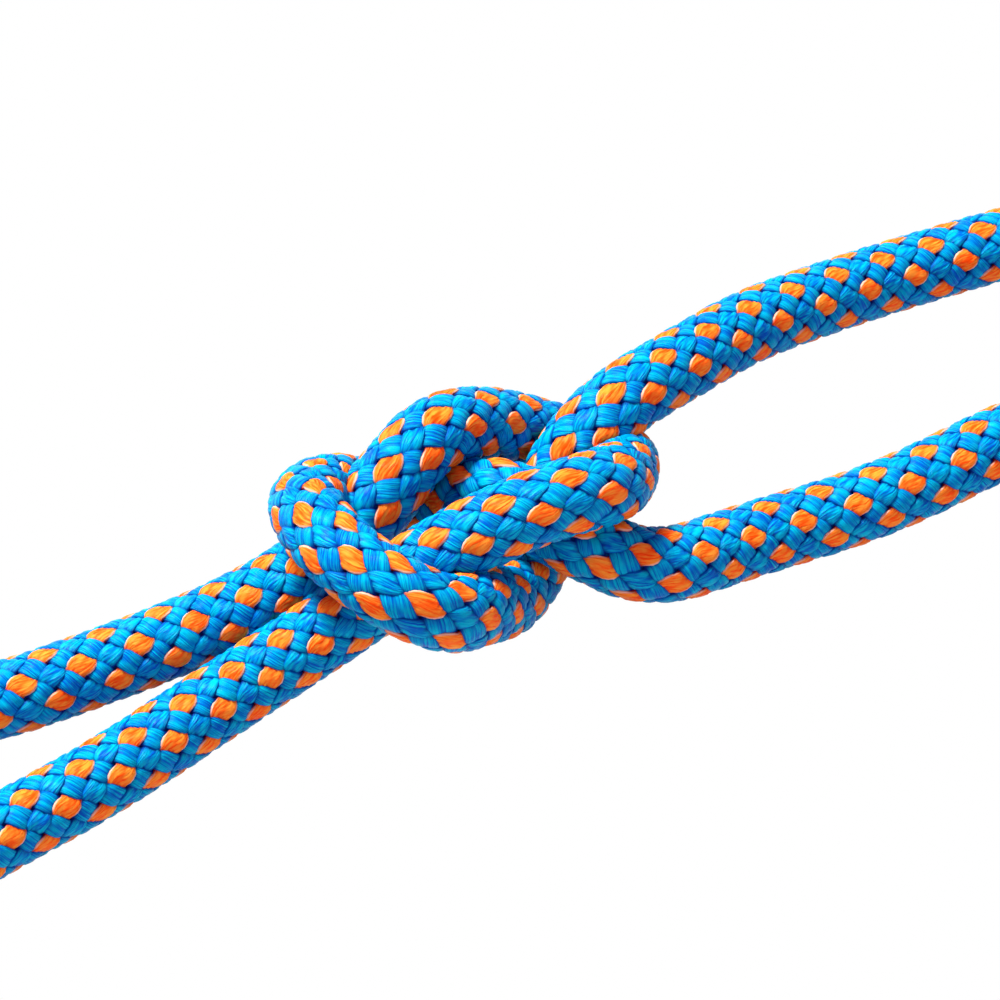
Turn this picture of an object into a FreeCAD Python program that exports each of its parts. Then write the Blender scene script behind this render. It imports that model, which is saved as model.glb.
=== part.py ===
import FreeCAD, Part
import math
import os

# A 30 m single climbing rope on a flat surface, in millimetres, +Z up.
# Its two ends are brought together in front and joined with a sheet bend.
# The rest of the rope lies behind the knot as a round coil held by three straps.
# The origin is in the middle of the rope's outline, on the surface.

V = FreeCAD.Vector

# Rope: a braided sheath round seven core strands, one in the middle and six round it
rope_diameter = 9.8
sheath_wall = 1.0
outer_core_strands = 6
core_clearance = 0.02

# Each rope end, where sheath and core strands are separate solids under a shrunk sleeve
end_length = 18.0
seal_thickness = 2.0
seal_dome = 0.5
sleeve_wall = 0.35
sleeve_clearance = 0.05
lip_width = 1.4

# Coil of the stored length, with its turns in rows of 4, 5, 6, 7, 6, 5 and 4
coil_mean_radius = 122.0
coil_width = 69.2
coil_height = 61.2
coil_flat_width = 35.0
coil_side_height = 6.0
coil_place_y = 98.85

# Straps round the coil, and the end of each strap that is pressed down over itself
strap_width = 20.0
strap_thickness = 1.4
strap_clearance = 0.15
strap_angles = (90.0, 212.0, 328.0)
tab_thickness = 1.2
tab_inset = 1.0

# Middle of the knot
knot_place_y = -161.6

# Turning points of the rope's route, measured from the knot's middle.
# The bight strand comes from its free end, makes the knot's bight and goes to the coil's left side.
bight_route = [
    (-109, -91, 5.4), (-78, -66.5, 5.4), (-46, -43, 5), (-30, -29.5, 6), (-18.5, -23, 10.5),
    (-9.5, -19, 16.5), (0, -15.5, 23), (11, -12, 26), (22, -7.5, 24), (28.5, 0, 16.5),
    (28.3, 8.8, 8.8), (22.7, 16.3, 4.9), (12.5, 17.7, 5.4), (4.5, 13.5, 13.5), (-2.5, 6.5, 21),
    (-8.5, -2.5, 19.8), (-15, -10, 14), (-25, -15, 8.2), (-40, -20.5, 5), (-70, -31, 5),
    (-106, -25, 5), (-136, 8, 5), (-148, 78, 5), (-149, 150, 6), (-134.5, 219, 15),
]
# The hitch strand comes from its free end, goes round the bight and on to the coil's right side.
hitch_route = [
    (119, 33, 5.4), (85, 18.5, 5.4), (56, 1.5, 5), (37, -7.5, 6), (24.5, -11, 11),
    (14, -8.5, 15.9), (5, -2, 15.7), (-2.5, 4, 9.2), (-14, 5, 9.6), (-21.5, -1, 17.8),
    (-21, -10, 25), (-16.5, -19.5, 28), (-7.5, -26.5, 27), (2.5, -28, 22), (8.5, -21.5, 14.5),
    (10, -14.5, 5.5), (11.8, -3, 4.5), (13, 5.5, 12.8), (20.5, 12, 18.4), (28.5, 19.5, 16.7),
    (37, 27.5, 12.8), (47, 34.5, 9), (59, 41, 6), (80, 50, 5), (117, 62, 5),
    (143, 96, 5), (150, 158, 6), (137, 217, 19),
]
# Each arc of a route takes this share of the shorter of its two runs
arc_share = 0.45

rope_radius = rope_diameter / 2
coil_lift = strap_thickness + strap_clearance
coil_place = V(0, coil_place_y, 0)
knot_place = V(0, knot_place_y, 0)


def rounded_path(points, name):
    """The edges of straight runs joined by tangent arcs, in order."""
    edges = []
    start = points[0]
    for before, corner, after in zip(points, points[1:], points[2:]):
        back = before - corner
        ahead = after - corner
        setback = arc_share * min(back.Length, ahead.Length)
        turn = math.pi - back.getAngle(ahead)
        radius = setback / math.tan(turn / 2)
        back.normalize()
        ahead.normalize()
        bisector = (back + ahead).normalize()
        arc_start = corner + back * setback
        arc_end = corner + ahead * setback
        arc_middle = corner + bisector * (radius / math.cos(turn / 2) - radius)
        edges.append(Part.LineSegment(start, arc_start).toShape())
        edges.append(Part.Arc(arc_start, arc_middle, arc_end).toShape())
        start = arc_end
        print(f"{name}: radius {radius:.1f} mm, turn {math.degrees(turn):.1f} degrees")
    edges.append(Part.LineSegment(start, points[-1]).toShape())
    return edges


def make_strand(edges, name):
    """The plain round rope along its route, from where its end piece stops."""
    start = edges[0].valueAt(edges[0].FirstParameter + end_length)
    edges = [Part.LineSegment(start, edges[1].valueAt(edges[1].FirstParameter)).toShape()] + edges[1:]
    path = Part.Wire(edges)
    ring = Part.makeCircle(rope_radius, start, edges[0].tangentAt(edges[0].FirstParameter))
    bar = path.makePipeShell([Part.Wire([ring])], True, False)
    section_times_length = math.pi * rope_radius ** 2 * path.Length
    print(f"{name}: {path.Length:.0f} mm long, {bar.Volume:.0f} mm3, "
          f"section times length {section_times_length:.0f} mm3")
    return bar


def polygon_face(points):
    return Part.Face(Part.makePolygon(points + points[:1]))


def bundle_face(grow=0):
    """The eight-sided section of the coil's bundle of turns, grown outwards all round."""
    middle = coil_lift + coil_height / 2
    quarter = [(coil_flat_width / 2, coil_height / 2), (coil_width / 2, coil_side_height / 2)]
    outline = [(x, z) for x, z in quarter] + [(x, -z) for x, z in reversed(quarter)]
    outline += [(-x, -z) for x, z in quarter] + [(-x, z) for x, z in reversed(quarter)]
    outline = [V(coil_mean_radius + x, 0, middle + z) for x, z in outline]
    wire = Part.makePolygon(outline + outline[:1])
    return Part.Face(wire.makeOffset2D(grow, 2) if grow else wire)


def make_coil():
    return bundle_face().revolve(V(0, 0, 0), V(0, 0, 1), 360).translated(coil_place)


def make_strap(angle):
    """A flat strap round the bundle, its end pressed down over the outer shoulder."""
    band = bundle_face(strap_clearance + strap_thickness).cut(bundle_face(strap_clearance))
    over = bundle_face(coil_lift + tab_thickness).cut(bundle_face(coil_lift))
    shoulder = polygon_face([
        V(coil_mean_radius, 0, coil_height / 2),
        V(coil_mean_radius + coil_width, 0, coil_height / 2),
        V(coil_mean_radius + coil_width, 0, 2 * coil_height),
        V(coil_mean_radius, 0, 2 * coil_height),
    ])
    over = over.common(shoulder)
    band_turn = math.degrees(strap_width / coil_mean_radius)
    tab_turn = math.degrees((strap_width - 2 * tab_inset) / coil_mean_radius)
    pieces = []
    for section, turn in ((band, band_turn), (over, tab_turn)):
        piece = section.Faces[0].revolve(V(0, 0, 0), V(0, 0, 1), turn)
        piece.rotate(V(0, 0, 0), V(0, 0, 1), angle - turn / 2)
        pieces.append(piece)
    return pieces[0].fuse(pieces[1]).removeSplitter().translated(coil_place)


def end_placement(edges):
    """Puts the rope's end at the origin's place, with Z running out of the rope."""
    end = edges[0].valueAt(edges[0].FirstParameter)
    outwards = edges[0].tangentAt(edges[0].FirstParameter) * -1
    return FreeCAD.Placement(end, FreeCAD.Rotation(V(0, 0, 1), outwards))


def turned(profile):
    return profile.revolve(V(0, 0, 0), V(0, 0, 1), 360)


def make_sheath_end():
    """The sheath as a tube, from the plain strand to the seal."""
    base = V(0, 0, -end_length)
    outside = Part.makeCylinder(rope_radius, end_length, base)
    return outside.cut(Part.makeCylinder(rope_radius - sheath_wall, end_length, base))


def make_core_strands():
    """The core strands side by side in the sheath, the middle one first."""
    space = rope_radius - sheath_wall
    radius = space / 3 - core_clearance
    places = [V(0, 0, -end_length)]
    for i in range(outer_core_strands):
        angle = 2 * math.pi * i / outer_core_strands
        places.append(V(space * 2 / 3 * math.cos(angle), space * 2 / 3 * math.sin(angle), -end_length))
    return [Part.makeCylinder(radius, end_length, place) for place in places]


def make_seal():
    """The melted end of sheath and core: a disc with a low dome inside the sleeve's lip."""
    rim = rope_radius - lip_width
    dome_radius = (rim ** 2 + seal_dome ** 2) / (2 * seal_dome)
    half_angle = math.asin(rim / dome_radius) / 2
    top = V(0, 0, seal_thickness + seal_dome)
    middle = V(dome_radius * math.sin(half_angle), 0,
               top.z - dome_radius * (1 - math.cos(half_angle)))
    corners = [V(0, 0, 0), V(rope_radius, 0, 0), V(rope_radius, 0, seal_thickness),
               V(rim, 0, seal_thickness)]
    edges = [Part.LineSegment(a, b).toShape() for a, b in zip(corners, corners[1:])]
    edges.append(Part.Arc(corners[-1], middle, top).toShape())
    edges.append(Part.LineSegment(top, corners[0]).toShape())
    return turned(Part.Face(Part.Wire(edges)))


def make_sleeve():
    """A thin sleeve shrunk over the rope's end, with a lip over the edge of the seal."""
    inner = rope_radius + sleeve_clearance
    outer = inner + sleeve_wall
    lip = rope_radius - lip_width + sleeve_clearance
    return turned(polygon_face([
        V(inner, 0, -end_length), V(outer, 0, -end_length),
        V(outer, 0, seal_thickness + sleeve_wall), V(lip, 0, seal_thickness + sleeve_wall),
        V(lip, 0, seal_thickness), V(inner, 0, seal_thickness),
    ]))


def save(shape, node):
    shape.exportStep(f"parts/{node}.step")
    print(f"{node}: {len(shape.Solids)} solid, {shape.Volume:.0f} mm3, valid {shape.isValid()}")


os.makedirs("parts", exist_ok=True)
coil = make_coil()
save(coil, "rope_coil")
for number, strap_angle in enumerate(strap_angles, 1):
    save(make_strap(strap_angle), f"coil_strap_{number}")

for strand, route in (("bight", bight_route), ("hitch", hitch_route)):
    route_edges = rounded_path([V(*point) + knot_place for point in route], strand)
    save(make_strand(route_edges, strand).cut(coil), f"rope_{strand}")
    pieces = {f"sheath_end_{strand}": make_sheath_end(), f"end_seal_{strand}": make_seal(),
              f"end_sleeve_{strand}": make_sleeve()}
    for number, core_strand in enumerate(make_core_strands(), 1):
        pieces[f"core_strand_{strand}_{number}"] = core_strand
    for node, piece in pieces.items():
        piece.Placement = end_placement(route_edges)
        save(piece, node)
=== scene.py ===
import bpy
import math
import numpy as np
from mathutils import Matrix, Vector


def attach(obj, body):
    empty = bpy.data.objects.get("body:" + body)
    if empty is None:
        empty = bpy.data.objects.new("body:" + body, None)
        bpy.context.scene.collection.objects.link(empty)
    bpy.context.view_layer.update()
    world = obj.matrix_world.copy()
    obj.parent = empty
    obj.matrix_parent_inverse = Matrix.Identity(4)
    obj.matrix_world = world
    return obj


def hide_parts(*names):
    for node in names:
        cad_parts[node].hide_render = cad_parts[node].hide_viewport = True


# A braided climbing rope on a pale floor, tied to itself with a sheet bend, in metres.
# First comes the line that the whole rope follows, then its braid, the rope under the braid,
# the coil's straps, the two ends and the studio.
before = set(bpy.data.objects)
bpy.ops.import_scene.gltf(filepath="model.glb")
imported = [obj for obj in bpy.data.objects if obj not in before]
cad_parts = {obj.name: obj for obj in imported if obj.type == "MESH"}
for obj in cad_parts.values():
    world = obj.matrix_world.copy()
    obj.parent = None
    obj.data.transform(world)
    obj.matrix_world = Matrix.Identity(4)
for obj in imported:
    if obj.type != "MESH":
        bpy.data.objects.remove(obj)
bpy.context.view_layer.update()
print("part loaded,", len(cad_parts), "nodes")

rope = {
    "radius": 0.0049,
    "length": 30.0,
    "endLength": 0.018,  # at each end, where the CAD part shows sheath and core
    "intoCoil": 0.05,  # how far the separate carriers run on into the coil
    "sides": 16,  # of its mesh
    "step": 0.002,  # from ring to ring
    "coilStep": 0.006,  # from ring to ring inside the coil
    "underKnot": 0.0009,  # how much further in than the carriers it is pressed
    "pathPoints": 3900,  # of the centreline that goes with the cord
}

# Turning points of the rope, measured from the knot's middle. Each route starts where the CAD part's does
# and runs the same way there. In the knot they are drawn in, as the real strands press into each other.
knotPlace = np.array([0, -0.1616, 0])
bightRoute = [
    (-0.109, -0.091, 0.0054), (-0.078, -0.0665, 0.0054), (-0.062, -0.0525, 0.0052),
    (-0.046, -0.0418, 0.005), (-0.030, -0.0290, 0.006), (-0.0185, -0.023, 0.0105),
    (-0.0095, -0.019, 0.0155), (0, -0.016, 0.0215), (0.0093, -0.0125, 0.024),
    (0.0165, -0.0087, 0.0225), (0.0202, -0.0027, 0.017), (0.0208, 0.0056, 0.009),
    (0.0172, 0.0120, 0.005), (0.0105, 0.0135, 0.006), (0.0033, 0.0103, 0.013),
    (-0.0037, 0.0045, 0.0190), (-0.0090, -0.0030, 0.0187), (-0.0147, -0.0096, 0.0138),
    (-0.025, -0.0148, 0.0082), (-0.040, -0.0210, 0.005), (-0.070, -0.0340, 0.005),
    (-0.106, -0.027, 0.005), (-0.136, 0.008, 0.005), (-0.148, 0.078, 0.005),
    (-0.1498, 0.150, 0.005), (-0.1488, 0.205, 0.0053), (-0.1475, 0.240, 0.0064),
]
hitchRoute = [
    (0.119, 0.033, 0.0054), (0.092, 0.0215, 0.0054), (0.076, 0.0158, 0.0051),
    (0.056, 0.0034, 0.005), (0.037, -0.0043, 0.006), (0.0245, -0.0126, 0.010),
    (0.014, -0.0098, 0.014), (0.005, -0.0026, 0.0143), (-0.0025, 0.0004, 0.0095),
    (-0.0125, 0.0004, 0.009), (-0.0196, -0.0042, 0.0162), (-0.0204, -0.0122, 0.0228),
    (-0.0165, -0.0206, 0.026), (-0.0085, -0.0274, 0.025), (-0.0018, -0.0274, 0.0205),
    (0.0022, -0.0211, 0.014), (0.0061, -0.0136, 0.0055), (0.0102, -0.004, 0.0046),
    (0.0125, 0.004, 0.0115), (0.020, 0.0112, 0.016), (0.0285, 0.0187, 0.0145),
    (0.038, 0.0282, 0.0115), (0.0485, 0.0359, 0.008), (0.060, 0.0428, 0.0055),
    (0.080, 0.0507, 0.005), (0.117, 0.064, 0.005), (0.143, 0.096, 0.005),
    (0.1505, 0.150, 0.005), (0.1545, 0.186, 0.0085), (0.1545, 0.214, 0.0175),
    (0.1525, 0.238, 0.027),
]

coil = {
    "place": np.array([0, 0.09885, 0]),
    "meanRadius": 0.122,
    "rowSizes": (4, 5, 6, 7, 6, 5, 4),  # turns side by side in each row, lowest row first
    "turnSpacing": 0.0099,
    "bottom": 0.00155,  # above the floor, where the straps lie under it
    "pointsPerTurn": 18,
    "stepStart": 0.015,  # shares of a turn between which the rope goes over to its next place
    "stepEnd": 0.15,
}


# Each turn's place in its row, counted from the row's middle, and its row, in the order in which
# the rope fills them: in and out again from row to row.
def coilSites():
    rows = [[(i - (size - 1) / 2, row) for i in range(size)] for row, size in enumerate(coil["rowSizes"])]
    firstTurn = (rows[0][-1][0] + 1, 0)  # outside the lowest row, where the rope comes in
    # the outermost places of two middle rows stay free for the last turns, where the rope goes out
    lastTurns = [rows[4].pop(), rows[3].pop()]
    sites = [firstTurn] + rows[0][::-1] + rows[1] + rows[2][::-1] + rows[3] + rows[4][::-1]
    # the two top rows are wound together, so that the rope ends up on the coil's outer side
    for i, site in enumerate(rows[5]):
        sites += [site] + rows[6][i:i + 1]
    return sites + lastTurns


def smooth(t):  # t squared times 3 - 2 t, which goes from 0 to 1 with level ends
    return t * t * (3 - 2 * t)


# Points of the turns. The place is a + (b - a) smooth(t), with a and b the sites of this turn and
# the next, and t going from 0 to 1 between the shares stepStart and stepEnd of the turn.
def coilPoints():
    sites = np.array(coilSites(), float)
    turns = len(sites) - 2 + 0.5  # the rope leaves on the side opposite to where it comes in
    u = np.linspace(0, turns, int(turns * coil["pointsPerTurn"]) + 1)
    turn = np.floor(u)
    t = np.clip((u - turn - coil["stepStart"]) / (coil["stepEnd"] - coil["stepStart"]), 0, 1)
    before = np.minimum(turn.astype(int), len(sites) - 1)
    after = np.minimum(before + 1, len(sites) - 1)
    place = sites[before] + (sites[after] - sites[before]) * smooth(t)[:, None]
    # the spline touches the middle of each side of its points' polygon, so the points lie further out
    sideMiddle = math.cos(math.pi / coil["pointsPerTurn"])
    radius = (coil["meanRadius"] + place[:, 0] * coil["turnSpacing"]) / sideMiddle
    height = coil["bottom"] + rope["radius"] + place[:, 1] * coil["turnSpacing"] * math.sqrt(3) / 2
    angle = math.pi - 2 * math.pi * u
    return np.column_stack([radius * np.cos(angle), radius * np.sin(angle), height]) + coil["place"]


# The whole line, from the bight's end through the coil to the hitch's end, as points read from one
# quadratic B-spline that starts and ends at its first and last control points.
def ropeLine():
    points = np.vstack([
        np.array(bightRoute) + knotPlace,
        coilPoints(),
        np.array(hitchRoute[::-1]) + knotPlace,
    ])
    curve = bpy.data.curves.new("ropeLine", "CURVE")
    curve.dimensions = "3D"
    spline = curve.splines.new("NURBS")
    spline.points.add(len(points) - 1)
    spline.points.foreach_set("co", np.column_stack([points, np.ones(len(points))]).ravel())
    spline.order_u = 3
    spline.use_endpoint_u = True
    spline.resolution_u = 12
    holder = bpy.data.objects.new("ropeLine", curve)
    bpy.context.scene.collection.objects.link(holder)
    mesh = bpy.data.meshes.new_from_object(holder)
    read = np.empty(len(mesh.vertices) * 3)
    mesh.vertices.foreach_get("co", read)
    bpy.data.objects.remove(holder)
    bpy.data.meshes.remove(mesh)
    bpy.data.curves.remove(curve)
    return read.reshape(-1, 3)


def lengthsAlong(points):  # each point's distance from the first, along the line
    return np.r_[0, np.cumsum(np.linalg.norm(np.diff(points, axis=0), axis=1))]


def evenly(start, end, step):  # values from start to end, as near to the step as fits
    return np.linspace(start, end, int(round((end - start) / step)) + 1)


def unit(vectors):  # each vector divided by its length
    return vectors / np.linalg.norm(vectors, axis=-1, keepdims=True)


line = ropeLine()
lineLengths = lengthsAlong(line)
lineLength = float(lineLengths[-1])
behindMiddle = line[:, 1] > coil["place"][1]
coilStart = float(lineLengths[np.argmax(behindMiddle)])
coilEnd = float(lineLengths[len(line) - 1 - np.argmax(behindMiddle[::-1])])
print(f"rope line {lineLength:.3f} m, in the coil from {coilStart:.3f} to {coilEnd:.3f} m")


def onLine(distances):  # points of the rope's line at those distances from its start
    return np.column_stack([np.interp(distances, lineLengths, line[:, k]) for k in range(3)])


# A part of the rope: its stations and, at each, the point, the tangent and two directions across.
# The first of these is up - (up . tangent) tangent, and both are turned back by the running sum of
# their own twist, so that they turn about the rope no more than its bends need.
class Stretch:
    tangentReach = 0.0004

    def __init__(self, stations):
        self.s = stations
        self.points = onLine(stations)
        self.tangent = unit(onLine(stations + self.tangentReach) - onLine(stations - self.tangentReach))
        upwards = unit(np.array([0, 0, 1.0]) - self.tangent[:, 2:] * self.tangent)
        sideways = np.cross(self.tangent, upwards)
        twist = np.einsum("ij,ij->i", np.gradient(upwards, axis=0), sideways)
        angle = -np.cumsum(twist)
        angle -= angle[0]
        cosine, sine = np.cos(angle)[:, None], np.sin(angle)[:, None]
        self.across = upwards * cosine + sideways * sine
        self.side = sideways * cosine - upwards * sine
        self.contacts = []


# Where strands press each other in the knot
contact = {
    "middle": knotPlace + [0, 0, 0.012],
    "reach": 0.06,  # how far the knot goes from that middle
    "sameStrand": 0.025,  # two stations nearer than this along the rope are no contact
    "neighbours": 4,  # looked for at each station
    "passed": 0.014,  # along a neighbour, on both sides of the place that was just found
    "gap": 0.00005,  # left between a strand and the plane
    "mostPressed": 0.35,  # the largest share of the radius that widens the section
    "widening": 0.45,  # for each share of the radius that is cut off
}


# Gives each station the direction to the nearest place of another strand, and the distance to the plane
# midway between them, then does the same for the next neighbour.
def findContacts(stretches):
    far = 1.0
    points = np.vstack([stretch.points for stretch in stretches])
    s = np.concatenate([stretch.s for stretch in stretches])
    inKnot = np.nonzero(np.linalg.norm(points - contact["middle"], axis=1) < contact["reach"])[0]
    apart = np.linalg.norm(points[inKnot, None] - points[None, inKnot], axis=2)
    apart[np.abs(s[inKnot, None] - s[None, inKnot]) < contact["sameStrand"]] = far
    for _ in range(contact["neighbours"]):
        nearest = apart.argmin(axis=1)
        direction = np.zeros_like(points)
        direction[inKnot] = unit(points[inKnot[nearest]] - points[inKnot])
        plane = np.full(len(points), far)
        plane[inKnot] = apart[np.arange(len(inKnot)), nearest] / 2
        start = 0
        for stretch in stretches:
            end = start + len(stretch.s)
            stretch.contacts.append((direction[start:end], plane[start:end]))
            start = end
        apart[np.abs(s[None, inKnot] - s[inKnot[nearest]][:, None]) < contact["passed"]] = far


# Points at an angle round the rope and a distance from its middle, pressed flat at contacts:
# o = radius (across cos(angle) + side sin(angle)). Each contact widens the section across its direction
# by the share of the radius that its plane cuts off, and then takes away what lies past the plane,
# which is direction times max(o . direction - plane, 0).
def ropeSurface(stretch, angle, radius):
    angle, radius = np.broadcast_arrays(angle, radius)
    offset = (stretch.across[:, None] * np.cos(angle)[..., None]
              + stretch.side[:, None] * np.sin(angle)[..., None]) * radius[..., None]
    for direction, plane in stretch.contacts:
        pressed = np.clip(1 - plane / rope["radius"], 0, contact["mostPressed"])
        wide = np.cross(stretch.tangent, direction)
        share = np.einsum("ijk,ik->ij", offset, wide) * (contact["widening"] * pressed)[:, None]
        offset = offset + wide[:, None] * share[..., None]
    for direction, plane in stretch.contacts:
        past = np.einsum("ijk,ik->ij", offset, direction) - plane[:, None] + contact["gap"]
        offset = offset - direction[:, None] * np.maximum(past, 0)[..., None]
    return stretch.points[:, None] + offset


# A mesh of closed tubes. Each tube is its rings of points, a value along it for each ring, and a height
# for each point. The UV map holds the share of the way round, from 0 to 1, and the value along.
def tubeMesh(name, tubes, layer):
    vertices, faces, uv, heights = [], [], [], []
    first = 0
    for rings, value, height in tubes:
        number, sides = rings.shape[:2]
        vertices.append(rings.reshape(-1, 3))
        heights.append(height.ravel())
        i, j = np.meshgrid(np.arange(number - 1), np.arange(sides), indexing="ij")
        right = (j + 1) % sides
        quads = np.stack([i * sides + j, i * sides + right, (i + 1) * sides + right, (i + 1) * sides + j], -1)
        faces += (quads.reshape(-1, 4) + first).tolist()
        round1, round2 = j / sides, (j + 1) / sides
        along1, along2 = value[i], value[i + 1]
        uv.append(np.stack([round1, along1, round2, along1, round2, along2, round1, along2], -1).ravel())
        onRing = np.arange(sides)
        for ring, order in ((0, onRing[::-1]), (number - 1, onRing)):  # a flat face closes each end
            faces.append((first + ring * sides + order).tolist())
            uv.append(np.tile([0.5, value[ring]], sides))
        first += number * sides
    mesh = bpy.data.meshes.new(name)
    mesh.from_pydata(np.vstack(vertices), [], faces)
    mesh.uv_layers.new(name=layer).data.foreach_set("uv", np.concatenate(uv))
    mesh.attributes.new("height", "FLOAT", "POINT").data.foreach_set("value", np.concatenate(heights))
    mesh.shade_smooth()
    piece = bpy.data.objects.new(name, mesh)
    bpy.context.scene.collection.objects.link(piece)
    return piece


def newMaterial(name):
    material = bpy.data.materials.new(name)
    material.use_nodes = True
    return material, material.node_tree.nodes, material.node_tree.links


# Joins another node's output to a node's entry, or sets the entry to a number or a colour.
def feed(links, entry, value):
    if isinstance(value, bpy.types.NodeSocket):
        links.new(value, entry)
    elif isinstance(value, tuple):
        entry.default_value = (*value, 1)
    else:
        entry.default_value = value


# Each of the next functions adds a node and gives its output. Their values are numbers, colours of three
# numbers, or other nodes' outputs.
def mathNode(nodes, links, operation, *values):
    node = nodes.new("ShaderNodeMath")
    node.operation = operation
    for entry, value in zip(node.inputs, values):
        feed(links, entry, value)
    return node.outputs[0]


def noiseNode(nodes, links, place, scale, detail):
    node = nodes.new("ShaderNodeTexNoise")
    node.inputs["Scale"].default_value = scale
    node.inputs["Detail"].default_value = detail
    links.new(place, node.inputs["Vector"])
    return node.outputs[0]


def rampNode(nodes, links, value, start, end, low, high):  # low up to start, and high from end
    node = nodes.new("ShaderNodeValToRGB")
    for element, position, colour in zip(node.color_ramp.elements, (start, end), (low, high)):
        element.position = position
        element.color = (*colour, 1)
    links.new(value, node.inputs[0])
    return node.outputs[0]


def rangeNode(nodes, links, value, start, end, most=1.0, kind="LINEAR"):  # 0 at start, most at end
    node = nodes.new("ShaderNodeMapRange")
    node.interpolation_type = kind
    node.inputs["From Min"].default_value = start
    node.inputs["From Max"].default_value = end
    node.inputs["To Max"].default_value = most
    links.new(value, node.inputs["Value"])
    return node.outputs[0]


def mixNode(nodes, links, share, first, second):  # first + (second - first) share, of two numbers
    node = nodes.new("ShaderNodeMix")
    for entry, value in ((0, share), (2, first), (3, second)):
        feed(links, node.inputs[entry], value)
    return node.outputs[0]


def colourNode(nodes, links, share, first, second, blend="MIX"):  # the same of two colours
    node = nodes.new("ShaderNodeMix")
    node.data_type = "RGBA"
    node.blend_type = blend
    for entry, value in ((0, share), (6, first), (7, second)):
        feed(links, node.inputs[entry], value)
    return node.outputs[2]


def objectPlace(nodes):
    return nodes.new("ShaderNodeTexCoord").outputs["Object"]


def uvPlace(nodes, links, layer):  # the share of the way round, and the value along
    node = nodes.new("ShaderNodeUVMap")
    node.uv_map = layer
    ways = nodes.new("ShaderNodeSeparateXYZ")
    links.new(node.outputs[0], ways.inputs[0])
    return ways.outputs[0], ways.outputs[1]


def heightOutput(nodes):
    node = nodes.new("ShaderNodeAttribute")
    node.attribute_name = "height"
    return node.outputs["Fac"]


# Joins colour and relief to the material's shader, and sets its gloss.
def finishMaterial(nodes, links, colour, relief, look):
    shader = nodes["Principled BSDF"]
    links.new(colour, shader.inputs["Base Color"])
    bump = nodes.new("ShaderNodeBump")
    bump.inputs["Strength"].default_value = look["reliefStrength"]
    bump.inputs["Distance"].default_value = look["relief"]
    links.new(relief, bump.inputs["Height"])
    links.new(bump.outputs[0], shader.inputs["Normal"])
    shader.inputs["Roughness"].default_value = look["roughness"]
    shader.inputs["Specular IOR Level"].default_value = look["gloss"]


# The braid's carriers
braid = {
    "carriers": 8,  # each way round
    "spacing": 0.00407,  # along the rope, in which a carrier goes over one other and under the next
    "middleRadius": 0.00431,  # of a carrier's middle, halfway between over and under
    "rise": 0.00034,  # and how far it goes out and in from there
    "outerThickness": 0.00044,
    "innerThickness": 0.00026,
    "baseRadius": 0.00405,  # of the rope under the carriers
    "lean": 0.04,  # as an angle round the rope, to both sides of the carrier's way
    "station": 0.00055,  # from ring to ring
    "sides": 20,
    "acrossPower": 0.8,  # these two powers round the section off between an ellipse and a box
    "outwardsPower": 0.6,
    "grooveWidth": 0.16,  # between the two yarns, as a share of half the width
    # pressed together under a sleeve, and back to full size over easeLength
    "pressedRadius": 0.0044,
    "pressedShare": 0.5,
    "pressedLength": 0.0185,
    "easeLength": 0.005,
}
# Kinds of carrier: half its width as an angle round the rope, the share by which it swells on top and
# narrows as it dives, how much longer than the others it stays on top, the depth of the groove between
# its two yarns, and how much of its corners is cut
kinds = {
    "fleck": {"halfAngle": 0.44, "swell": 0.13, "stay": 0.05, "groove": 0.16, "corner": 0.12},
    "plain": {"halfAngle": 0.39, "swell": 0.04, "stay": 0.0, "groove": 0.24, "corner": 0.0},
    "over": {"halfAngle": 0.40, "swell": 0.04, "stay": 0.12, "groove": 0.24, "corner": 0.0},
    "under": {"halfAngle": 0.39, "swell": 0.04, "stay": -0.25, "groove": 0.24, "corner": 0.0},
}


def wavy(cosine):  # c (1.5 - 0.5 c c), a wave with a flatter top than a cosine
    cosine = np.clip(cosine, -1, 1)
    return cosine * (1.5 - 0.5 * cosine * cosine)


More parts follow.
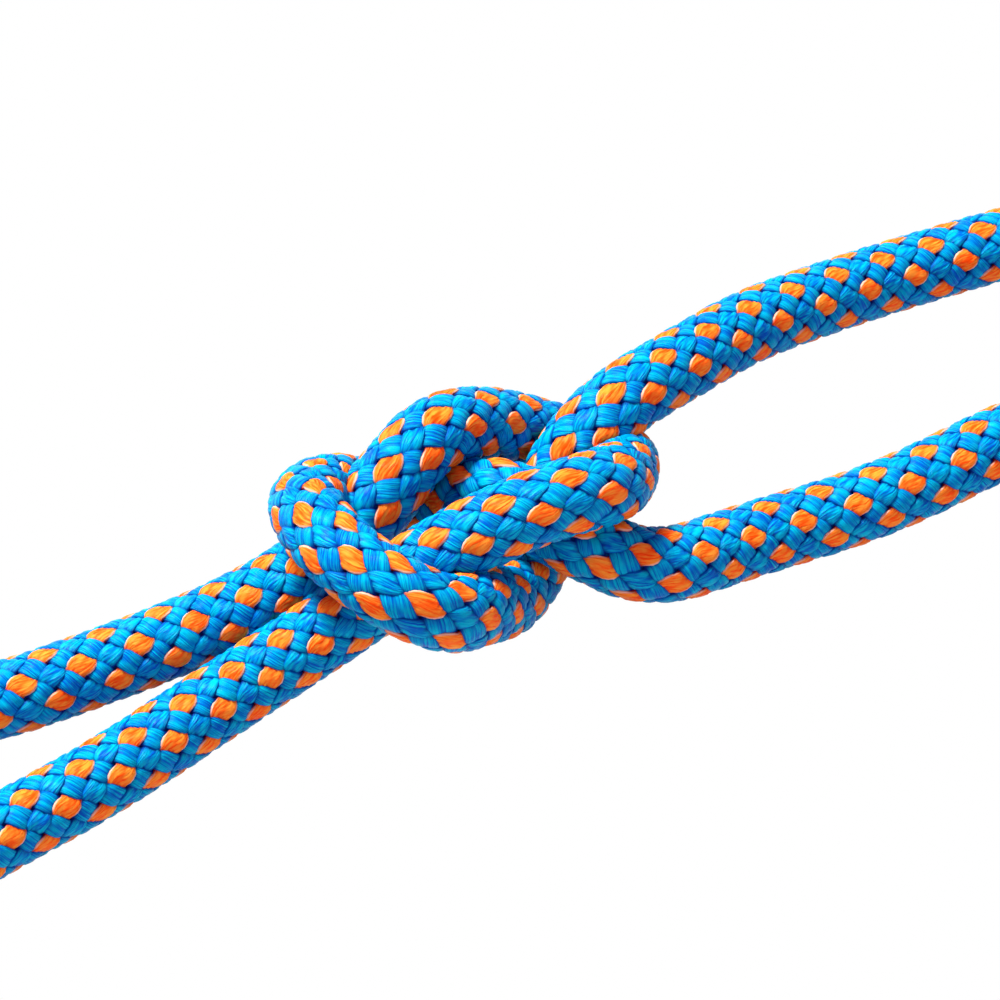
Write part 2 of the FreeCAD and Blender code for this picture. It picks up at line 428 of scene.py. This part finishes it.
# One carrier over a stretch: two yarns side by side, with a faint groove between them.
# Its section has x = sign(cos q) |cos q|^acrossPower across, y = sign(sin q) |sin q|^outwardsPower outwards,
# and y loses groove exp(-(x / grooveWidth)^2) on its outer side. Its phase is 2 pi times the distance along
# its own edge over the spacing, so it is on top once in each spacing, and dives along the edge of the
# carrier that crosses it. The angle from its middle is
# halfAngle x (1 + swell wavy(-sense cos phase)) (1 - corner (sense x sin phase)^2) - sense lean sin phase,
# and its distance from the rope's middle is middleRadius + rise wavy(-sense cos phase + stay) + thickness y.
def carrierTube(stretch, sense, carrier, kind):
    lead = braid["spacing"] * braid["carriers"]
    s = stretch.s[:, None]
    q = 2 * math.pi * np.arange(braid["sides"]) / braid["sides"]
    outer = np.sin(q) > 0
    x = np.sign(np.cos(q)) * np.abs(np.cos(q)) ** braid["acrossPower"]
    y = np.sign(np.sin(q)) * np.abs(np.sin(q)) ** braid["outwardsPower"]
    y = y - kind["groove"] * outer * np.exp(-(x / braid["grooveWidth"]) ** 2)
    thickness = np.where(outer, braid["outerThickness"], braid["innerThickness"])

    edge = kind["halfAngle"] * x
    phase = 2 * math.pi * (s + sense * edge * lead / (4 * math.pi)) / braid["spacing"]
    swelling = 1 + kind["swell"] * wavy(-sense * np.cos(phase))
    corner = np.clip(sense * x * np.sin(phase), 0, 1) ** 2
    across = edge * swelling * (1 - kind["corner"] * corner) - sense * braid["lean"] * np.sin(phase)
    phase = 2 * math.pi * (s + sense * across * lead / (4 * math.pi)) / braid["spacing"]
    height = braid["rise"] * wavy(-sense * np.cos(phase) + kind["stay"]) + thickness * y

    fromEnd = np.minimum(s, lineLength - s) - braid["pressedLength"]
    full = np.clip(fromEnd / braid["easeLength"], 0, 1)
    share = braid["pressedShare"] + (1 - braid["pressedShare"]) * full
    middleRadius = braid["pressedRadius"] + (braid["middleRadius"] - braid["pressedRadius"]) * full
    angle = 2 * math.pi * carrier / braid["carriers"] + across + sense * 2 * math.pi * s / lead
    rings = ropeSurface(stretch, angle, middleRadius + share * height)
    rings[..., 2] = np.maximum(rings[..., 2], 0)
    return rings, stretch.s, height * 1000


# Colours of the yarns: a painted shade for the seams between carriers, the filaments' two shades, and along
# the rims a painted sheen on the orange yarn and a painted shade on the blue one
yarnColours = {
    "blueYarn": {
        "seamShade": (0.0, 0.018, 0.22),
        "dark": (0.0, 0.10, 0.57),
        "light": (0.0, 0.48, 0.74),
        "rim": (0.0, 0.13, 0.58),
    },
    "orangeYarn": {
        "seamShade": (0.34, 0.010, 0.02),
        "dark": (1.0, 0.08, 0.003),
        "light": (1.0, 0.33, 0.035),
        "rim": (1.0, 0.60, 0.46),
    },
}
# Widths here are shares of the way round a carrier, and heights are in millimetres
yarn = {
    "filamentsRound": 46.0,
    "filamentsAlong": 380.0,
    "filamentsLean": 1900.0,
    "filamentsDetail": 3,
    "patchScale": 420,
    "patchDetail": 2,
    "patchShare": 0.3,
    "shades": (0.40, 0.57),
    "rimWidth": (0.14, 0.185),
    "rimShare": 0.95,
    "grooveWidth": (0.035, 0.0),
    "grooveShadeShare": 0.6,
    "seamShadeHeight": (0.22, 0.62),
    "reliefStrength": 0.9,
    "relief": 0.00024,
    "roughness": 0.27,
    "gloss": 0.035,
}


# Bright nylon yarn: twisted filaments and a slow change of shade, with a painted sheen along the orange rims,
# painted shade along the blue rims, and painted shade in the groove between the two yarns and in the seams.
def yarnMaterial(name):
    colours = yarnColours[name]
    material, nodes, links = newMaterial(name)
    about, ahead = uvPlace(nodes, links, "yarn")
    # the filaments lean across the yarn as they go along it
    lean = mathNode(nodes, links, "MULTIPLY", ahead, yarn["filamentsLean"])
    slanted = nodes.new("ShaderNodeCombineXYZ")
    links.new(mathNode(nodes, links, "MULTIPLY_ADD", about, yarn["filamentsRound"], lean), slanted.inputs[0])
    links.new(mathNode(nodes, links, "MULTIPLY", ahead, yarn["filamentsAlong"]), slanted.inputs[1])
    filaments = noiseNode(nodes, links, slanted.outputs[0], 1, yarn["filamentsDetail"])
    patches = noiseNode(nodes, links, objectPlace(nodes), yarn["patchScale"], yarn["patchDetail"])
    shade = mathNode(nodes, links, "MULTIPLY", filaments, 1 - yarn["patchShare"])
    shade = mathNode(nodes, links, "MULTIPLY_ADD", patches, yarn["patchShare"], shade)
    colour = rampNode(nodes, links, shade, *yarn["shades"], colours["dark"], colours["light"])
    # away from the middle of the carrier's outer side, which is a quarter of the way round
    away = mathNode(nodes, links, "ABSOLUTE", mathNode(nodes, links, "SUBTRACT", about, 0.25))
    # the rims get a painted sheen on the orange yarn and a painted shade on the blue yarn
    rim = rangeNode(nodes, links, away, *yarn["rimWidth"], yarn["rimShare"])
    colour = colourNode(nodes, links, rim, colour, colours["rim"])
    # painted shade in the groove between the carrier's two yarns, in the yarn's dark colour
    groove = rangeNode(nodes, links, away, *yarn["grooveWidth"], yarn["grooveShadeShare"], "SMOOTHSTEP")
    colour = colourNode(nodes, links, groove, colour, colours["dark"])
    # painted shade: the low places between carriers go to the deep seam colour
    raised = rangeNode(nodes, links, heightOutput(nodes), *yarn["seamShadeHeight"], 1.0, "SMOOTHSTEP")
    colour = colourNode(nodes, links, raised, colours["seamShade"], colour)
    finishMaterial(nodes, links, colour, filaments, yarn)
    return material


# The carriers over both loose stretches, each as one piece with its two yarns. Every second carrier of
# one sense makes the flecks, and those of the other sense go over or under all of them in turn.
def addCarriers(stretches):
    materials = {name: yarnMaterial(name) for name in yarnColours}
    pieces = []
    for sense, word, kindNames in ((-1, "left", ("plain", "fleck")), (1, "right", ("over", "under"))):
        for carrier in range(braid["carriers"]):
            kind = kindNames[carrier % 2]
            tubes = [carrierTube(stretch, sense, carrier, kinds[kind]) for stretch in stretches]
            piece = tubeMesh(f"carrier_{word}_{carrier}", tubes, "yarn")
            piece.data.materials.append(materials["orangeYarn" if kind == "fleck" else "blueYarn"])
            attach(piece, "root")
            pieces.append(piece)
    return pieces


looseStretches = [
    Stretch(evenly(0, coilStart + rope["intoCoil"], braid["station"])),
    Stretch(evenly(coilEnd - rope["intoCoil"], lineLength, braid["station"])),
]
findContacts(looseStretches)
carriers = addCarriers(looseStretches)
print("braid,", len(carriers), "carriers")

# The braid as a pattern, for the coiled part: colours, a painted shade for its seams and one for the rope
# under the carriers, how far the height falls to the sides and the ends of each diamond, and the groove
# between its yarns
pattern = {
    "orange": (1.0, 0.19, 0.01),
    "blue": (0.0, 0.20, 0.58),
    "seamShade": (0.12, 0.14, 0.25),
    "seamShadeHeight": (0.15, 0.6),
    "underCarriersShadedBlue": (0.0, 0.06, 0.30),
    "sideFall": 1.6,
    "endFall": 1.9,
    "grooveWidth": 0.04,
    "grooveDepth": 0.12,
    "reliefStrength": 1.0,
    "relief": 0.0005,
    "roughness": 0.5,
    "gloss": 0.05,
}


# With x and y the counts of carriers of the two senses, each diamond round a crossing shows the sense
# that is on top there: x when round(x) + round(y) is even. Every second carrier of x is orange. Its height
# is 1 - sideFall across^2 - endFall along^2, with across and along the way from the diamond's middle.
def patternMaterial(name):
    material, nodes, links = newMaterial(name)
    about, ahead = uvPlace(nodes, links, "rope")
    about = mathNode(nodes, links, "MULTIPLY", about, float(braid["carriers"]))
    ahead = mathNode(nodes, links, "MULTIPLY", ahead, 1 / braid["spacing"])
    x = mathNode(nodes, links, "ADD", about, ahead)
    y = mathNode(nodes, links, "SUBTRACT", about, ahead)
    xWhole = mathNode(nodes, links, "ROUND", x)
    yWhole = mathNode(nodes, links, "ROUND", y)
    xPart = mathNode(nodes, links, "SUBTRACT", x, xWhole)
    yPart = mathNode(nodes, links, "SUBTRACT", y, yWhole)
    yOnTop = mathNode(nodes, links, "FLOORED_MODULO", mathNode(nodes, links, "ADD", xWhole, yWhole), 2.0)
    second = mathNode(nodes, links, "FLOORED_MODULO", xWhole, 2.0)
    isBlue = mathNode(nodes, links, "MAXIMUM", yOnTop, second)
    across = mixNode(nodes, links, yOnTop, xPart, yPart)
    along = mixNode(nodes, links, yOnTop, yPart, xPart)
    height = mathNode(nodes, links, "MULTIPLY", across, across)
    height = mathNode(nodes, links, "MULTIPLY_ADD", height, -pattern["sideFall"], 1.0)
    alongSquare = mathNode(nodes, links, "MULTIPLY", along, along)
    height = mathNode(nodes, links, "MULTIPLY_ADD", alongSquare, -pattern["endFall"], height)
    groove = mathNode(nodes, links, "COMPARE", across, 0.0, pattern["grooveWidth"])
    height = mathNode(nodes, links, "MULTIPLY_ADD", groove, -pattern["grooveDepth"], height)
    colour = colourNode(nodes, links, isBlue, pattern["orange"], pattern["blue"])
    # painted shade: the low places of each diamond are multiplied by the seam colour
    seamShade = rampNode(nodes, links, height, *pattern["seamShadeHeight"], pattern["seamShade"], (1, 1, 1))
    colour = colourNode(nodes, links, 1.0, colour, seamShade, "MULTIPLY")
    # where carriers lie over it, its mesh has the height 0, and its colour is the braid's blue darkened as
    # painted shade
    colour = colourNode(nodes, links, heightOutput(nodes), pattern["underCarriersShadedBlue"], colour)
    finishMaterial(nodes, links, colour, height, pattern)
    return material


# The rope itself: full thickness in the coil, and the layer under the carriers elsewhere.
def addRope():
    intoCoil, step, coilStep = rope["intoCoil"], rope["step"], rope["coilStep"]
    stations = np.concatenate([
        evenly(rope["endLength"], coilStart + intoCoil, step),
        evenly(coilStart + intoCoil + coilStep, coilEnd - intoCoil - coilStep, coilStep),
        evenly(coilEnd - intoCoil, lineLength - rope["endLength"], step),
    ])
    whole = Stretch(stations)
    findContacts([whole])
    whole.contacts = [(direction, plane - rope["underKnot"]) for direction, plane in whole.contacts]
    full = np.clip((stations - coilStart) / intoCoil, 0, 1) * np.clip((coilEnd - stations) / intoCoil, 0, 1)
    radius = braid["baseRadius"] + (rope["radius"] - braid["baseRadius"]) * full
    angle = 2 * math.pi * np.arange(rope["sides"]) / rope["sides"]
    rings = ropeSurface(whole, angle[None, :], radius[:, None])
    piece = tubeMesh("rope", [(rings, stations, np.repeat(full, rope["sides"]))], "rope")
    piece.data.materials.append(patternMaterial("braid"))
    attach(piece, "root")
    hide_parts("rope_coil", "rope_bight", "rope_hitch", "sheath_end_bight", "sheath_end_hitch")


addRope()
print("rope,", rope["length"], "m")

# The outline of the coil's bundle of turns, which has eight sides, as in the CAD part
bundle = {
    "width": 0.0692,
    "height": 0.0612,
    "flatWidth": 0.035,
    "sideHeight": 0.006,
}
strap = {
    "angles": (90, 212, 328),
    "width": 0.020,
    "thickness": 0.0013,
    "gap": 0.00015,  # from the bundle
    "bend": 0.0045,  # radius at the bundle's corners
    "bendPoints": 7,
    "overlap": 0.050,
    "climbStart": 0.009,  # before the strap meets its own start
    "climbLength": 0.008,
    "layerGap": 0.0001,
    "cornerRadius": 0.004,  # of its free end
    "ribSpacing": 0.0017,
    "ribHeight": 0.08,
    "ribSlant": 0.6,
    "edgePower": 12,
    "station": 0.00042,
    "pointsAcross": 28,
}
webbing = {
    "dark": (0.012, 0.013, 0.016),
    "light": (0.07, 0.072, 0.08),
    "shades": (0.45, 0.95),
    "fibreScale": 1600,
    "fibreDetail": 3,
    "patchScale": 60,
    "patchDetail": 2,
    "patchShare": 0.4,
    "reliefStrength": 0.6,
    "relief": 0.0002,
    "roughness": 0.8,
    "gloss": 0.5,
    "sheen": 0.1,
}


# Dark woven tape: fine fibres from dark to light, with a slow change of shade over them.
def webbingMaterial():
    material, nodes, links = newMaterial("webbing")
    fibres = noiseNode(nodes, links, objectPlace(nodes), webbing["fibreScale"], webbing["fibreDetail"])
    patches = noiseNode(nodes, links, objectPlace(nodes), webbing["patchScale"], webbing["patchDetail"])
    shade = mathNode(nodes, links, "MULTIPLY_ADD", patches, webbing["patchShare"], fibres)
    colour = rampNode(nodes, links, shade, *webbing["shades"], webbing["dark"], webbing["light"])
    finishMaterial(nodes, links, colour, fibres, webbing)
    nodes["Principled BSDF"].inputs["Sheen Weight"].default_value = webbing["sheen"]
    return material


# The strap's way from the top's middle round all the bundle's corners and over the first two again, as
# (out, up) from the bundle's middle, with the directions away from the bundle, and the length of one time
# round. Each corner is an arc about corner - bend (n1 + n2) / (1 + n1 . n2), with n1 and n2 the outward
# directions of its two sides.
def strapLine():
    a, b = bundle["flatWidth"] / 2, bundle["height"] / 2
    c, d = bundle["width"] / 2, bundle["sideHeight"] / 2
    corners = np.array([(a, b), (c, d), (c, -d), (a, -b), (-a, -b), (-c, -d), (-c, d), (-a, b)])
    ahead = unit(np.roll(corners, -1, axis=0) - corners)
    after = np.column_stack([-ahead[:, 1], ahead[:, 0]])
    before = np.roll(after, 1, axis=0)
    between = 1 + np.einsum("ij,ij->i", before, after)[:, None]
    centres = corners - strap["bend"] * (before + after) / between
    turn = np.linspace(0, 1, strap["bendPoints"])[:, None]
    points, outward = [np.array([[0, b]])], [np.array([[0, 1.0]])]
    for k in (*range(len(corners)), 0, 1):
        direction = unit(before[k] * (1 - turn) + after[k] * turn)
        points.append(centres[k] + strap["bend"] * direction)
        outward.append(direction)
    onceRound = np.vstack(points[:len(corners) + 1] + points[:1])
    return np.vstack(points), np.vstack(outward), float(lengthsAlong(onceRound)[-1])


# One woven strap, its end pressed down over its start. It lies gap + thickness / 2 + lift outside the
# bundle, and the lift is one thickness times smooth(t), where it climbs over its start. Its section is
# thickness / 2 times the root of 1 - |u|^edgePower, with u from -1 to 1 across, and the ribs change that by
# 1 + ribHeight cos(2 pi (s + ribSlant |w|) / ribSpacing), with w across and s along.
def addStrap(number, angle, material):
    points, outward, onceRound = strapLine()
    s = np.arange(0, onceRound + strap["overlap"], strap["station"])
    columns = (points[:, 0], points[:, 1], outward[:, 0], outward[:, 1])
    out, up, outX, outZ = (np.interp(s, lengthsAlong(points), values)[:, None] for values in columns)
    t = np.clip((s - onceRound + strap["climbStart"]) / strap["climbLength"], 0, 1)
    lift = (strap["thickness"] + strap["layerGap"]) * smooth(t)
    # the corners of the free end are round
    into = np.clip(s - s[-1] + strap["cornerRadius"], 0, None)
    corner = strap["cornerRadius"] - np.sqrt(np.maximum(strap["cornerRadius"] ** 2 - into ** 2, 0))
    u = (np.arange(strap["pointsAcross"]) + 0.5) * 2 / strap["pointsAcross"] - 1
    side = np.repeat([1, -1], len(u))
    u = np.r_[u, u[::-1]]
    w = (strap["width"] / 2 - corner)[:, None] * u
    rib = 2 * math.pi * (s[:, None] + strap["ribSlant"] * np.abs(w)) / strap["ribSpacing"]
    ribs = 1 + strap["ribHeight"] * np.cos(rib)
    h = side * strap["thickness"] / 2 * np.sqrt(1 - np.abs(u) ** strap["edgePower"]) * ribs
    outside = strap["gap"] + strap["thickness"] / 2 + lift[:, None] + h
    radius = coil["meanRadius"] + out + outX * outside
    turned = math.radians(angle) + w / radius
    height = coil["bottom"] + bundle["height"] / 2 + up + outZ * outside
    rings = np.stack([radius * np.cos(turned), radius * np.sin(turned), height], axis=-1) + coil["place"]
    piece = tubeMesh(f"strap_{number}", [(rings[:, ::-1], s, ribs)], "strap")
    piece.data.materials.append(material)
    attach(piece, "root")
    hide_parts(f"coil_strap_{number}")


strapMaterial = webbingMaterial()
for number, angle in enumerate(strap["angles"], 1):
    addStrap(number, angle, strapMaterial)
print("straps,", len(strap["angles"]))

# The solids at the rope's ends: what their finishes share, and each finish by what its nodes' names
# start with
endLook = {
    "detail": 4,
    "shades": (0.35, 0.65),
    "reliefStrength": 0.5,
    "gloss": 0.5,
}
endFinishes = {
    "core_strand": {
        "name": "coreYarn", "dark": (0.72, 0.70, 0.64), "light": (0.9, 0.89, 0.84),
        "scale": 1400, "roughness": 0.7, "relief": 0.0002,
    },
    "end_seal": {
        "name": "meltedYarn", "dark": (0.01, 0.05, 0.14), "light": (0.03, 0.12, 0.26),
        "scale": 700, "roughness": 0.25, "relief": 0.0002,
    },
    "end_sleeve": {
        "name": "shrunkSleeve", "dark": (0.012, 0.012, 0.014), "light": (0.03, 0.03, 0.034),
        "scale": 300, "roughness": 0.42, "relief": 0.00008,
    },
}


# Two shades mixed by noise, and the same noise as a fine relief.
def endMaterial(finish):
    look = endLook | finish
    material, nodes, links = newMaterial(look["name"])
    noise = noiseNode(nodes, links, objectPlace(nodes), look["scale"], look["detail"])
    colour = rampNode(nodes, links, noise, *look["shades"], look["dark"], look["light"])
    finishMaterial(nodes, links, colour, noise, look)
    return material


for start, finish in endFinishes.items():
    material = endMaterial(finish)
    for name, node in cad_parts.items():
        if name.startswith(start):
            node.data.materials[0] = material
print("ends,", len(endFinishes), "finishes")

studio = {
    "target": knotPlace + [0.0047, 0.0034, 0.005],
    "distance": 0.6,
    "elevation": 52,
    "lens": 162,
    "lamps": {
        "key": {"place": (-0.54, 0.54, 1.06), "size": 0.34, "power": 38},
        "fill": {"place": (0.3, -0.7, 0.5), "size": 0.5, "power": 1.6},
    },
    "lampColour": (0.95, 1.0, 0.88),
    "ambientColour": (1.0, 0.46, 0.70),
    "ambient": 0.42,
    "backgroundColour": (1.0, 1.0, 1.0),
    "floorSize": 6,
    "floorColour": (0.55, 0.57, 0.6),
    "floorRoughness": 0.9,
}


def aim(thing, target):  # turns a camera or lamp so that its -Z looks at the target
    direction = Vector(target.tolist()) - thing.location
    thing.rotation_euler = direction.to_track_quat("-Z", "Y").to_euler()


# What the camera, gloss and glass see is the plain shader, and all other light meets the lit one.
def seenNode(nodes, links, lit, plain):
    ray = nodes.new("ShaderNodeLightPath")
    seen = mathNode(nodes, links, "MAXIMUM", ray.outputs["Is Camera Ray"], ray.outputs["Is Glossy Ray"])
    seen = mathNode(nodes, links, "MAXIMUM", seen, ray.outputs["Is Transmission Ray"])
    mix = nodes.new("ShaderNodeMixShader")
    for entry, value in zip(mix.inputs, (seen, lit, plain)):
        links.new(value, entry)
    return mix.outputs[0]


# A pale floor that shows as plain white.
def addFloor():
    bpy.ops.mesh.primitive_plane_add(size=studio["floorSize"], location=(0, 0, 0))
    floor = bpy.context.object
    floor.name = "floor"
    material, nodes, links = newMaterial("floor")
    shader = nodes["Principled BSDF"]
    feed(links, shader.inputs["Base Color"], studio["floorColour"])
    shader.inputs["Roughness"].default_value = studio["floorRoughness"]
    glow = nodes.new("ShaderNodeEmission")
    feed(links, glow.inputs["Color"], studio["backgroundColour"])
    seen = seenNode(nodes, links, shader.outputs[0], glow.outputs[0])
    links.new(seen, nodes["Material Output"].inputs[0])
    floor.data.materials.append(material)


# Soft tinted light from all round, behind which the background shows as plain white.
def addWorld():
    world = bpy.data.worlds.new("studio")
    world.use_nodes = True
    nodes, links = world.node_tree.nodes, world.node_tree.links
    ambient = nodes["Background"]
    feed(links, ambient.inputs[0], studio["ambientColour"])
    ambient.inputs[1].default_value = studio["ambient"]
    plain = nodes.new("ShaderNodeBackground")
    feed(links, plain.inputs[0], studio["backgroundColour"])
    seen = seenNode(nodes, links, ambient.outputs[0], plain.outputs[0])
    links.new(seen, nodes["World Output"].inputs[0])
    bpy.context.scene.world = world


# The key lamp at the upper left, a weak fill from the front, and a camera that looks down on the knot.
def addLampsAndCamera():
    scene = bpy.context.scene
    for name, lamp in studio["lamps"].items():
        light = bpy.data.lights.new(name, "AREA")
        light.size = lamp["size"]
        light.energy = lamp["power"]
        light.color = studio["lampColour"]
        holder = bpy.data.objects.new(name, light)
        holder.location = studio["target"] + np.array(lamp["place"])
        aim(holder, studio["target"])
        scene.collection.objects.link(holder)
    camera = bpy.data.objects.new("camera", bpy.data.cameras.new("camera"))
    elevation = math.radians(studio["elevation"])
    back = np.array([0, -math.cos(elevation), math.sin(elevation)])
    camera.location = studio["target"] + studio["distance"] * back
    camera.data.sensor_width = 36
    camera.data.lens = studio["lens"]
    aim(camera, studio["target"])
    scene.collection.objects.link(camera)
    scene.camera = camera
    scene.view_settings.view_transform = "Standard"


addFloor()
addWorld()
addLampsAndCamera()
print("studio done")
